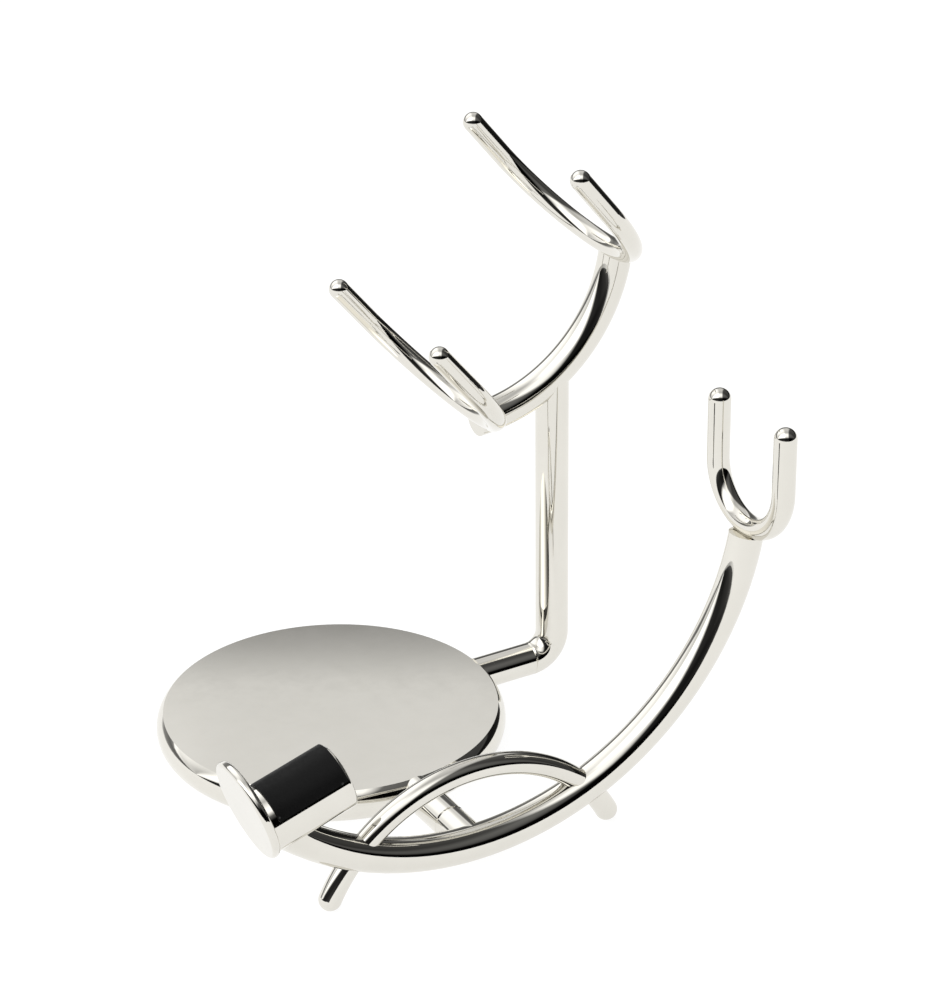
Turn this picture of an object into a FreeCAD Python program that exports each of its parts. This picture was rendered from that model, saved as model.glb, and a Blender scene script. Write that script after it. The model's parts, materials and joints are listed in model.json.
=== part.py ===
import FreeCAD, Part
import math
import os

# Cradle stand in bent round rod. Millimetres, +Z up, origin on the table under the centre of the round plate.
# +X runs along the post stub, -Y along the front stub.

# Rod stock
ROD_D = 10.0          # post, crossbar, stubs and front arc
LEAF_ROD_D = 6.5      # front fork, leaf arch and legs
FORK_ROD_D = 6.0      # two tilted forks

# Round plate and its pad
PLATE_D = 103.0
PLATE_T = 9.6
RIM_BULGE = 2.2       # how far the rim's curve stands out past its edges
PAD_T = 1.4
PAD_MARGIN = 9.0      # plate rim to pad rim

# Two stubs and their screwed joints
STUB_OUT = 17.0       # plate rim to joint face
STUD_D = 4.0
STUD_BITE = 5.5       # stud length in each rod
STUD_END_GAP = 0.8    # tapped hole beyond the stud's end
SEAM_DEPTH = 0.35     # chamfer round each joint face
FRONT_STUB_X = 1.0

# Post and crossbar
BEND_R = 8.0
CROSS_R = 50.0
CROSS_Z = 99.2        # crossbar axis above the table, over the post
SEAT_ANGLE = -56.3    # place of the post on the crossbar's arc
LOW_ANGLE = -87.9
HIGH_ANGLE = -6.2

# Tilted forks
FORK_LEAN = 39.5      # prongs from the vertical, towards -X
FORK_BEND_R = 29.0
FORK_H = 44.4         # bottom of the U to the centre of a prong's tip
FORK_SINK = 2.6       # U axis inside the crossbar's axis

# Front arc and front fork
BOSS_REACH = 11.9     # joint face to the plane of the front arc
FRONT_R = 88.3
FRONT_X = 3.3
FRONT_END_ANGLE = -11.5
FRONT_FORK_R = 15.5
FRONT_FORK_H = 32.3
FRONT_COPE = 0.8      # arc's length past the fork's underside
FRONT_FORK_OUT = 0.9  # fork's plane beyond the end of the arc's axis

# Leaf arch and its two legs
LEAF_X = 0.5
LEAF_R = 49.7
LEAF_H = 29.7         # arch axis above the table, at the top

# Rest barrel, the sleeve over its top and the stop disc
BARREL_D = 18.4
BARREL_L = 25.3
BARREL_BEHIND = 2.4   # barrel's length behind its seat
BARREL_TILT = 16.5    # free end up
BARREL_SEAT = -137.0  # place of the seat on the front arc
ARC_IN_BARREL = 4.6   # arc's end to the seat, along the arc
BARREL_ROUND = 0.9    # rounding of the free end
SLEEVE_T = 0.5
SLEEVE_SPAN = 136.0   # degrees of the barrel's round, centred on its top
SLEEVE_BACK = 3.2     # stop disc to sleeve
DISC_D = 28.6
DISC_T = 2.4
DISC_RISE = 5.6       # disc centre over the barrel's axis

Y_AXIS = FreeCAD.Vector(0, 1, 0)
Z_AXIS = FreeCAD.Vector(0, 0, 1)


def vec(x, y, z):
    return FreeCAD.Vector(x, y, z)


def polar(cx, cz, radius, angle, y):
    a = math.radians(angle)
    return vec(cx + radius * math.cos(a), y, cz + radius * math.sin(a))


def rod_along(edges, diameter):
    """Round rod swept along a smooth chain of edges."""
    spine = Part.Wire(edges)
    first = edges[0]
    start = first.valueAt(first.FirstParameter)
    heading = first.tangentAt(first.FirstParameter)
    section = Part.Wire([Part.makeCircle(diameter / 2, start, heading)])
    return spine.makePipeShell([section], True, True)


def arc_edge(cx, cz, radius, angle_from, angle_to, y):
    middle = (angle_from + angle_to) / 2
    ends = [polar(cx, cz, radius, a, y) for a in (angle_from, middle, angle_to)]
    return Part.Arc(*ends).toShape()


def ball(centre, diameter):
    return Part.makeSphere(diameter / 2, centre)


def cut_clear(shape, others, keep):
    """Shape less the others, keeping only the lump nearest the point keep."""
    for other in others:
        shape = shape.cut(other)
    lumps = sorted(shape.Solids, key=lambda s: s.distToShape(Part.Vertex(keep))[0])
    return lumps[0]


def fork(bottom, up, bend_r, height, diameter):
    """U of round rod in the plane of Y and up, with round prong ends."""
    centre = bottom + up * bend_r
    side = Y_AXIS * bend_r
    near_tip = bottom - side + up * height
    far_tip = bottom + side + up * height
    edges = [Part.makeLine(near_tip, centre - side),
             Part.Arc(centre - side, bottom, centre + side).toShape(),
             Part.makeLine(centre + side, far_tip)]
    body = rod_along(edges, diameter)
    for tip in (near_tip, far_tip):
        body = body.fuse(ball(tip, diameter))
    return body.removeSplitter()


# Shared places
STUB_REACH = PLATE_D / 2 + STUB_OUT
FRONT_REACH = STUB_REACH + BOSS_REACH
ROD_Z = PAD_T + ROD_D / 2
CROSS_CX = STUB_REACH + BEND_R - CROSS_R * math.cos(math.radians(SEAT_ANGLE))
CROSS_CZ = CROSS_Z - CROSS_R * math.sin(math.radians(SEAT_ANGLE))
FRONT_CZ = ROD_Z + FRONT_R
LEAF_CZ = LEAF_H - LEAF_R
PLATE_Z = PAD_T + PLATE_T / 2
POST_X = STUB_REACH + BEND_R


def base_plate():
    """Disc with a bulging rim."""
    r = PLATE_D / 2
    top = PAD_T + PLATE_T
    flat = r - RIM_BULGE
    rim = Part.Arc(vec(flat, 0, PAD_T), vec(r, 0, PLATE_Z), vec(flat, 0, top)).toShape()
    upper = Part.makeLine(vec(flat, 0, top), vec(0, 0, top))
    axis = Part.makeLine(vec(0, 0, top), vec(0, 0, PAD_T))
    under = Part.makeLine(vec(0, 0, PAD_T), vec(flat, 0, PAD_T))
    face = Part.Face(Part.Wire([rim, upper, axis, under]))
    return face.revolve(vec(0, 0, 0), Z_AXIS, 360)


def base_pad():
    return Part.makeCylinder(PLATE_D / 2 - PAD_MARGIN, PAD_T)


def stub_bar(face_point, heading):
    """Short rod from the edge of the plate's flat top to a joint face, shaped to the rim."""
    length = STUB_OUT + RIM_BULGE
    bar = Part.makeCylinder(ROD_D / 2, length, face_point - heading * length, heading)
    return cut_clear(bar, [base_plate()], face_point)


def stud(face_point, heading):
    return Part.makeCylinder(STUD_D / 2, 2 * STUD_BITE, face_point - heading * STUD_BITE, heading)


def seam_groove(face_point, heading):
    """V groove round a joint, half of its width on each rod."""
    start = face_point - heading * SEAM_DEPTH
    ring = Part.makeCylinder(ROD_D, 2 * SEAM_DEPTH, start, heading)
    narrow = ROD_D / 2 - SEAM_DEPTH
    ring = ring.cut(Part.makeCone(ROD_D / 2, narrow, SEAM_DEPTH, start, heading))
    return ring.cut(Part.makeCone(narrow, ROD_D / 2, SEAM_DEPTH, face_point, heading))


def joint_end(rod, face_point, heading):
    """Gives a rod its stud hole and chamfer at a joint face."""
    return rod.cut(stud_hole(face_point, heading)).cut(seam_groove(face_point, heading))


def stud_hole(face_point, heading):
    length = 2 * (STUD_BITE + STUD_END_GAP)
    return Part.makeCylinder(STUD_D / 2, length, face_point - heading * (length / 2), heading)


POST_JOINT = vec(STUB_REACH, 0, ROD_Z)
FRONT_JOINT = vec(FRONT_STUB_X, -STUB_REACH, ROD_Z)
TO_POST = vec(1, 0, 0)
TO_FRONT = vec(0, -1, 0)


def post_rod():
    """L-bent rod: short foot from the joint, sharp bend, long upright to the crossbar's axis."""
    bend_c = (STUB_REACH, ROD_Z + BEND_R)
    turn = Part.Arc(POST_JOINT, polar(*bend_c, BEND_R, -45, 0), vec(POST_X, 0, ROD_Z + BEND_R)).toShape()
    upright = Part.makeLine(vec(POST_X, 0, ROD_Z + BEND_R), vec(POST_X, 0, CROSS_Z))
    return rod_along([turn, upright], ROD_D)


def crossbar_rod():
    return rod_along([arc_edge(CROSS_CX, CROSS_CZ, CROSS_R, LOW_ANGLE, HIGH_ANGLE, 0)], ROD_D)


def tilted_fork(angle):
    lean = math.radians(FORK_LEAN)
    up = vec(-math.sin(lean), 0, math.cos(lean))
    bottom = polar(CROSS_CX, CROSS_CZ, CROSS_R - FORK_SINK, angle, 0)
    return fork(bottom, up, FORK_BEND_R, FORK_H, FORK_ROD_D)


def front_arc_rod():
    """Long arc from inside the barrel to just past the front fork's underside."""
    first = BARREL_SEAT + math.degrees(ARC_IN_BARREL / FRONT_R)
    last = FRONT_END_ANGLE + math.degrees(FRONT_COPE / FRONT_R)
    return rod_along([arc_edge(FRONT_X, FRONT_CZ, FRONT_R, first, last, -FRONT_REACH)], ROD_D)


def front_fork():
    end = polar(FRONT_X, FRONT_CZ, FRONT_R, FRONT_END_ANGLE, -FRONT_REACH)
    bottom = end + vec(FRONT_FORK_OUT, 0, LEAF_ROD_D / 2)
    return fork(bottom, Z_AXIS, FRONT_FORK_R, FRONT_FORK_H, LEAF_ROD_D)


def leaf_rod():
    """Full arch from foot to foot with round ends standing on the table."""
    foot_rise = LEAF_ROD_D / 2 - LEAF_CZ
    foot_angle = math.degrees(math.asin(foot_rise / LEAF_R))
    arch = arc_edge(LEAF_X, LEAF_CZ, LEAF_R, 180 - foot_angle, foot_angle, -FRONT_REACH)
    body = rod_along([arch], LEAF_ROD_D)
    feet = [polar(LEAF_X, LEAF_CZ, LEAF_R, a, -FRONT_REACH) for a in (180 - foot_angle, foot_angle)]
    for foot in feet:
        body = body.fuse(ball(foot, LEAF_ROD_D))
    return body, feet


def on_barrel_axis(shape):
    """Moves a shape drawn along +X from the barrel's back end onto the tilted barrel axis."""
    moved = shape.copy()
    seat = polar(FRONT_X, FRONT_CZ, FRONT_R, BARREL_SEAT, -FRONT_REACH)
    turn = FreeCAD.Rotation(Y_AXIS, -BARREL_TILT)
    back = seat - turn.multVec(vec(BARREL_BEHIND, 0, 0))
    moved.Placement = FreeCAD.Placement(back, turn).multiply(moved.Placement)
    return moved


def rest_barrel():
    barrel = Part.makeCylinder(BARREL_D / 2, BARREL_L, vec(0, 0, 0), TO_POST)
    free_end = [e for e in barrel.Edges if e.Closed and e.BoundBox.XMin > BARREL_L / 2]
    return on_barrel_axis(barrel.makeFillet(BARREL_ROUND, free_end))


def rest_sleeve():
    """Thin saddle bonded over the barrel's top."""
    length = BARREL_L - SLEEVE_BACK - BARREL_ROUND
    saddle = Part.makeCylinder(BARREL_D / 2 + SLEEVE_T, length, vec(0, 0, 0), Z_AXIS, SLEEVE_SPAN)
    saddle = saddle.cut(Part.makeCylinder(BARREL_D / 2, length)).Solids[0]
    saddle.rotate(vec(0, 0, 0), Z_AXIS, 180 - SLEEVE_SPAN / 2)
    saddle.rotate(vec(0, 0, 0), Y_AXIS, 90)
    saddle.translate(vec(SLEEVE_BACK, 0, 0))
    return on_barrel_axis(saddle)


def stop_disc():
    disc = Part.makeCylinder(DISC_D / 2, DISC_T, vec(-DISC_T, 0, DISC_RISE), TO_POST)
    return on_barrel_axis(disc.makeFillet(DISC_T * 0.4, [e for e in disc.Edges if e.Closed]))


def build():
    cross = crossbar_rod()
    forks = [tilted_fork(LOW_ANGLE), tilted_fork(HIGH_ANGLE)]
    nose_fork = front_fork()
    arc = front_arc_rod()
    leaf, feet = leaf_rod()
    arc_low = vec(FRONT_X, -FRONT_REACH, ROD_Z)
    leaf_top = vec(LEAF_X, -FRONT_REACH, LEAF_H)
    cross_middle = polar(CROSS_CX, CROSS_CZ, CROSS_R, SEAT_ANGLE, 0)
    post = cut_clear(post_rod(), [cross], vec(POST_X, 0, CROSS_Z / 2))
    cross = cut_clear(cross, forks, cross_middle)
    whole_arc = arc
    barrel = rest_barrel()
    disc = stop_disc()
    arc = cut_clear(arc, [nose_fork, barrel, disc], arc_low)
    boss = Part.makeCylinder(ROD_D / 2, FRONT_REACH - STUB_REACH, FRONT_JOINT, TO_FRONT)
    boss = cut_clear(boss, [whole_arc], FRONT_JOINT)
    return {
        "base_plate": base_plate(),
        "base_pad": base_pad(),
        "post_stub": joint_end(stub_bar(POST_JOINT, TO_POST), POST_JOINT, TO_POST),
        "post_stud": stud(POST_JOINT, TO_POST),
        "post": joint_end(post, POST_JOINT, TO_POST),
        "crossbar": cross,
        "lower_fork": forks[0],
        "upper_fork": forks[1],
        "front_stub": joint_end(stub_bar(FRONT_JOINT, TO_FRONT), FRONT_JOINT, TO_FRONT),
        "front_stud": stud(FRONT_JOINT, TO_FRONT),
        "arc_boss": joint_end(boss, FRONT_JOINT, TO_FRONT),
        "front_arc": arc,
        "front_fork": nose_fork,
        "leaf_arch": cut_clear(leaf, [whole_arc], leaf_top),
        "left_leg": cut_clear(leaf, [whole_arc], feet[0]),
        "right_leg": cut_clear(leaf, [whole_arc], feet[1]),
        "rest_barrel": barrel,
        "rest_sleeve": rest_sleeve(),
        "stop_disc": disc,
    }


os.makedirs("parts", exist_ok=True)
for node, solid in build().items():
    solid.exportStep("parts/" + node + ".step")
    print(node, len(solid.Solids), solid.isValid(), round(solid.Volume, 1))
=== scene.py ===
import json
import math

import bpy
from mathutils import Matrix, Vector


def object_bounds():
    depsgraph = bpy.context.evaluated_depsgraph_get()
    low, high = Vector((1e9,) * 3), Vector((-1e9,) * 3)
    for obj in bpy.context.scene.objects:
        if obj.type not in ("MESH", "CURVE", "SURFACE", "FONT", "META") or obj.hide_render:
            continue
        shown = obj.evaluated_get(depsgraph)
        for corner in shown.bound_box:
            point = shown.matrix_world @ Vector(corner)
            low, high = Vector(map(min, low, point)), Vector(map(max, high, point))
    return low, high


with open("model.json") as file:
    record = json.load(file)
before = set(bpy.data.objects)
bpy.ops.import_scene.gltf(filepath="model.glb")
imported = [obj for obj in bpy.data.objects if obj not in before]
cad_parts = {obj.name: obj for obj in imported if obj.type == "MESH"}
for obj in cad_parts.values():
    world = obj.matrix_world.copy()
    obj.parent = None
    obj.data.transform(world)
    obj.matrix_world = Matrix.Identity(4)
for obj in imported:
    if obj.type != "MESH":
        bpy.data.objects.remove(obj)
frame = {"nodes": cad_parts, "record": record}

cad_low, cad_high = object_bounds()

# ---------------------------------------------------------------- camera
VIEW_TURN = math.radians(30.06)      # camera to the left of the front
VIEW_DROP = math.radians(25.96)      # looking down
VIEW_ROLL = math.radians(-0.74)
VIEW_DISTANCE = 0.8466
LENS_MM = 110.0
SENSOR_MM = 36.0
AIM_SHIFT = Vector((0.01321, -0.00596, -0.00186))   # aim point from the middle of the part


def make_camera():
    side = Vector((math.cos(VIEW_TURN), -math.sin(VIEW_TURN), 0))
    away = Vector((math.sin(VIEW_TURN), math.cos(VIEW_TURN), 0))
    up = Vector((0, 0, 1))
    ahead = away * math.cos(VIEW_DROP) - up * math.sin(VIEW_DROP)
    top = away * math.sin(VIEW_DROP) + up * math.cos(VIEW_DROP)
    right = side * math.cos(VIEW_ROLL) + top * math.sin(VIEW_ROLL)
    above = top * math.cos(VIEW_ROLL) - side * math.sin(VIEW_ROLL)
    data = bpy.data.cameras.new("camera")
    data.sensor_width = SENSOR_MM
    data.lens = LENS_MM
    data.clip_start = 0.01
    data.clip_end = 50.0
    cam = bpy.data.objects.new("camera", data)
    bpy.context.scene.collection.objects.link(cam)
    place = (cad_low + cad_high) / 2 + AIM_SHIFT - ahead * VIEW_DISTANCE
    cam.matrix_world = Matrix((
        (right.x, above.x, -ahead.x, place.x),
        (right.y, above.y, -ahead.y, place.y),
        (right.z, above.z, -ahead.z, place.z),
        (0, 0, 0, 1)))
    bpy.context.scene.camera = cam


make_camera()


# ---------------------------------------------------------------- materials
def new_material(name):
    mat = bpy.data.materials.new(name)
    mat.use_nodes = True
    tree = mat.node_tree
    shader = tree.nodes["Principled BSDF"]
    return mat, tree, shader


def add(tree, kind, **values):
    node = tree.nodes.new(kind)
    for socket, value in values.items():
        node.inputs[socket].default_value = value
    return node


def ramp(tree, factor, stops):
    """Colour ramp through (place, colour) stops, driven by a factor."""
    node = tree.nodes.new("ShaderNodeValToRGB")
    bar = node.color_ramp
    bar.elements[0].position, bar.elements[0].color = stops[0][0], stops[0][1]
    bar.elements[1].position, bar.elements[1].color = stops[-1][0], stops[-1][1]
    for place, colour in stops[1:-1]:
        bar.elements.new(place).color = colour
    tree.links.new(factor, node.inputs["Fac"])
    return node.outputs["Color"]


def grey(v):
    return (v, v, v, 1.0)


CHROME = (0.745, 0.725, 0.67)
CLOUDING = (0.96, 0.96, 0.955)      # share of the tint left where it is cloudiest
CHROME_CLOUDED = tuple(tint * share for tint, share in zip(CHROME, CLOUDING))


def chrome(name, rough, smudge, ripple):
    """Polished plating: faint clouds in the tint, smudges in the gloss and a slow ripple in the surface."""
    mat, tree, shader = new_material(name)
    place = add(tree, "ShaderNodeTexCoord").outputs["Object"]
    shader.inputs["Metallic"].default_value = 1.0
    cloud = add(tree, "ShaderNodeTexNoise", Scale=55.0, Detail=5.0, Roughness=0.6)
    tree.links.new(place, cloud.inputs["Vector"])
    shade = ramp(tree, cloud.outputs["Fac"],
                 [(0.3, (*CHROME_CLOUDED, 1)), (0.7, (*CHROME, 1))])
    tree.links.new(shade, shader.inputs["Base Color"])
    film = add(tree, "ShaderNodeTexNoise", Scale=140.0, Detail=6.0, Roughness=0.7)
    tree.links.new(place, film.inputs["Vector"])
    gloss = ramp(tree, film.outputs["Fac"], [(0.35, grey(rough)), (0.62, grey(rough + smudge))])
    tree.links.new(gloss, shader.inputs["Roughness"])
    wave = add(tree, "ShaderNodeTexNoise", Scale=90.0, Detail=2.0)
    tree.links.new(place, wave.inputs["Vector"])
    bump = add(tree, "ShaderNodeBump", Strength=0.25, Distance=ripple)
    tree.links.new(wave.outputs["Fac"], bump.inputs["Height"])
    tree.links.new(bump.outputs["Normal"], shader.inputs["Normal"])
    return mat


def turned_steel():
    """Plain screw steel with a fine mottled grain."""
    mat, tree, shader = new_material("stud_steel")
    place = add(tree, "ShaderNodeTexCoord").outputs["Object"]
    shader.inputs["Metallic"].default_value = 1.0
    noise = add(tree, "ShaderNodeTexNoise", Scale=300.0, Detail=4.0)
    tree.links.new(place, noise.inputs["Vector"])
    tree.links.new(ramp(tree, noise.outputs["Fac"], [(0.3, grey(0.42)), (0.7, grey(0.58))]),
                   shader.inputs["Base Color"])
    tree.links.new(ramp(tree, noise.outputs["Fac"], [(0.3, grey(0.28)), (0.7, grey(0.42))]),
                   shader.inputs["Roughness"])
    return mat


def pad_rubber():
    """Matte black pad with a fine grain."""
    mat, tree, shader = new_material("pad_rubber")
    place = add(tree, "ShaderNodeTexCoord").outputs["Object"]
    noise = add(tree, "ShaderNodeTexNoise", Scale=900.0, Detail=4.0)
    tree.links.new(place, noise.inputs["Vector"])
    tree.links.new(ramp(tree, noise.outputs["Fac"], [(0.3, grey(0.018)), (0.7, grey(0.035))]),
                   shader.inputs["Base Color"])
    tree.links.new(ramp(tree, noise.outputs["Fac"], [(0.3, grey(0.7)), (0.7, grey(0.85))]),
                   shader.inputs["Roughness"])
    bump = add(tree, "ShaderNodeBump", Strength=0.5, Distance=0.0002)
    tree.links.new(noise.outputs["Fac"], bump.inputs["Height"])
    tree.links.new(bump.outputs["Normal"], shader.inputs["Normal"])
    return mat


def sleeve_rubber():
    """Smooth black sleeve with a soft grain and a few pale dust specks."""
    mat, tree, shader = new_material("sleeve_rubber")
    place = add(tree, "ShaderNodeTexCoord").outputs["Object"]
    grain = add(tree, "ShaderNodeTexNoise", Scale=700.0, Detail=4.0)
    dust = add(tree, "ShaderNodeTexVoronoi", Scale=420.0)
    patch = add(tree, "ShaderNodeTexNoise", Scale=90.0, Detail=1.0)
    for texture in (grain, dust, patch):
        tree.links.new(place, texture.inputs["Vector"])
    speck = ramp(tree, dust.outputs["Distance"], [(0.10, grey(1.0)), (0.2, grey(0.0))])
    where = ramp(tree, patch.outputs["Fac"], [(0.52, grey(0.0)), (0.66, grey(0.5))])
    both = tree.nodes.new("ShaderNodeMath")
    both.operation = "MULTIPLY"
    tree.links.new(speck, both.inputs[0])
    tree.links.new(where, both.inputs[1])
    colour = ramp(tree, both.outputs["Value"], [(0.0, grey(0.006)), (1.0, grey(0.35))])
    tree.links.new(colour, shader.inputs["Base Color"])
    tree.links.new(ramp(tree, grain.outputs["Fac"], [(0.3, grey(0.42)), (0.7, grey(0.55))]),
                   shader.inputs["Roughness"])
    shader.inputs["Specular IOR Level"].default_value = 0.12
    bump = add(tree, "ShaderNodeBump", Strength=0.3, Distance=0.00004)
    tree.links.new(grain.outputs["Fac"], bump.inputs["Height"])
    tree.links.new(bump.outputs["Normal"], shader.inputs["Normal"])
    return mat


FINISH = {
    "rod": chrome("rod_chrome", rough=0.02, smudge=0.03, ripple=0.000008),
    "plate": chrome("plate_chrome", rough=0.03, smudge=0.03, ripple=0.000004),
    "barrel": chrome("barrel_chrome", rough=0.02, smudge=0.03, ripple=0.000008),
    "sleeve": sleeve_rubber(),
    "stud": turned_steel(),
    "pad": pad_rubber(),
}
for row in frame["record"]["subparts"]:
    node = frame["nodes"][row["node"]]
    node.data.materials.clear()
    node.data.materials.append(FINISH[row["material_slot"]])


# ---------------------------------------------------------------- floor and light
FLOOR_REACH = 3.0        # from its middle to each edge
FLOOR_DROP = 0.0002      # below the part's lowest point
FLOOR_GREY = 0.2
FLOOR_GLOW = 0.9


def make_floor():
    near, far = -FLOOR_REACH, FLOOR_REACH
    corners = [(near, near, 0), (far, near, 0), (far, far, 0), (near, far, 0)]
    mesh = bpy.data.meshes.new("floor")
    mesh.from_pydata(corners, [], [(0, 1, 2, 3)])
    floor = bpy.data.objects.new("floor", mesh)
    bpy.context.scene.collection.objects.link(floor)
    floor.location.z = cad_low.z - FLOOR_DROP
    mat, _, shader = new_material("floor_white")
    shader.inputs["Base Color"].default_value = grey(FLOOR_GREY)
    shader.inputs["Roughness"].default_value = 0.8
    shader.inputs["Emission Color"].default_value = (1, 1, 1, 1)
    shader.inputs["Emission Strength"].default_value = FLOOR_GLOW
    mesh.materials.append(mat)


# Studio brightness by angle: 0 the far horizon, 90 straight up, 180 the horizon behind the camera.
STUDIO = ((0, 0.45), (6, 0.16), (20, 0.10), (26, 0.16), (28.4, 0.30), (29.5, 0.86), (32, 0.92), (40, 0.74),
          (56, 0.80), (71, 0.72), (86, 0.60), (92, 0.62), (99, 0.9), (106, 1.20), (113, 1.50), (126, 1.45),
          (136, 1.12), (142, 0.70), (147, 0.20), (150, 0.015), (165, 0.01), (175, 0.02), (180, 0.05))
# Share of that brightness by side: 0 the camera's left, 0.5 ahead, 1 its right.
SIDES = ((0.0, 1.0), (0.12, 1.9), (0.34, 2.0), (0.46, 1.0), (0.64, 1.0), (0.71, 0.12), (1.0, 0.06))


def make_world():
    """A wide soft studio with lamps and screens from side to side and a dark wall on the right."""
    world = bpy.data.worlds.new("studio")
    bpy.context.scene.world = world
    world.use_nodes = True
    tree = world.node_tree

    def math_node(operation, first, second):
        node = tree.nodes.new("ShaderNodeMath")
        node.operation = operation
        for socket, value in zip(node.inputs, (first, second)):
            if isinstance(value, bpy.types.NodeSocket):
                tree.links.new(value, socket)
            else:
                socket.default_value = value
        return node.outputs["Value"]

    def along(direction):
        node = tree.nodes.new("ShaderNodeVectorMath")
        node.operation = "DOT_PRODUCT"
        tree.links.new(heading, node.inputs[0])
        node.inputs[1].default_value = direction
        return node.outputs["Value"]

    heading = tree.nodes.new("ShaderNodeTexCoord").outputs["Generated"]
    depth = along((math.sin(VIEW_TURN), math.cos(VIEW_TURN), 0))
    side = along((math.cos(VIEW_TURN), -math.sin(VIEW_TURN), 0))
    angle = math_node("ARCTAN2", along((0, 0, 1)), depth)
    half_turn = math_node("DIVIDE", angle, math.pi)
    across = math_node("ADD", math_node("MULTIPLY", side, 0.5), 0.5)
    tone = ramp(tree, half_turn, [(at / 180, grey(level)) for at, level in STUDIO])
    share = ramp(tree, across, [(at, grey(level)) for at, level in SIDES])
    back = tree.nodes["Background"]
    tree.links.new(tone, back.inputs["Color"])
    tree.links.new(share, back.inputs["Strength"])


make_floor()
make_world()
bpy.context.scene.view_settings.view_transform = "Standard"
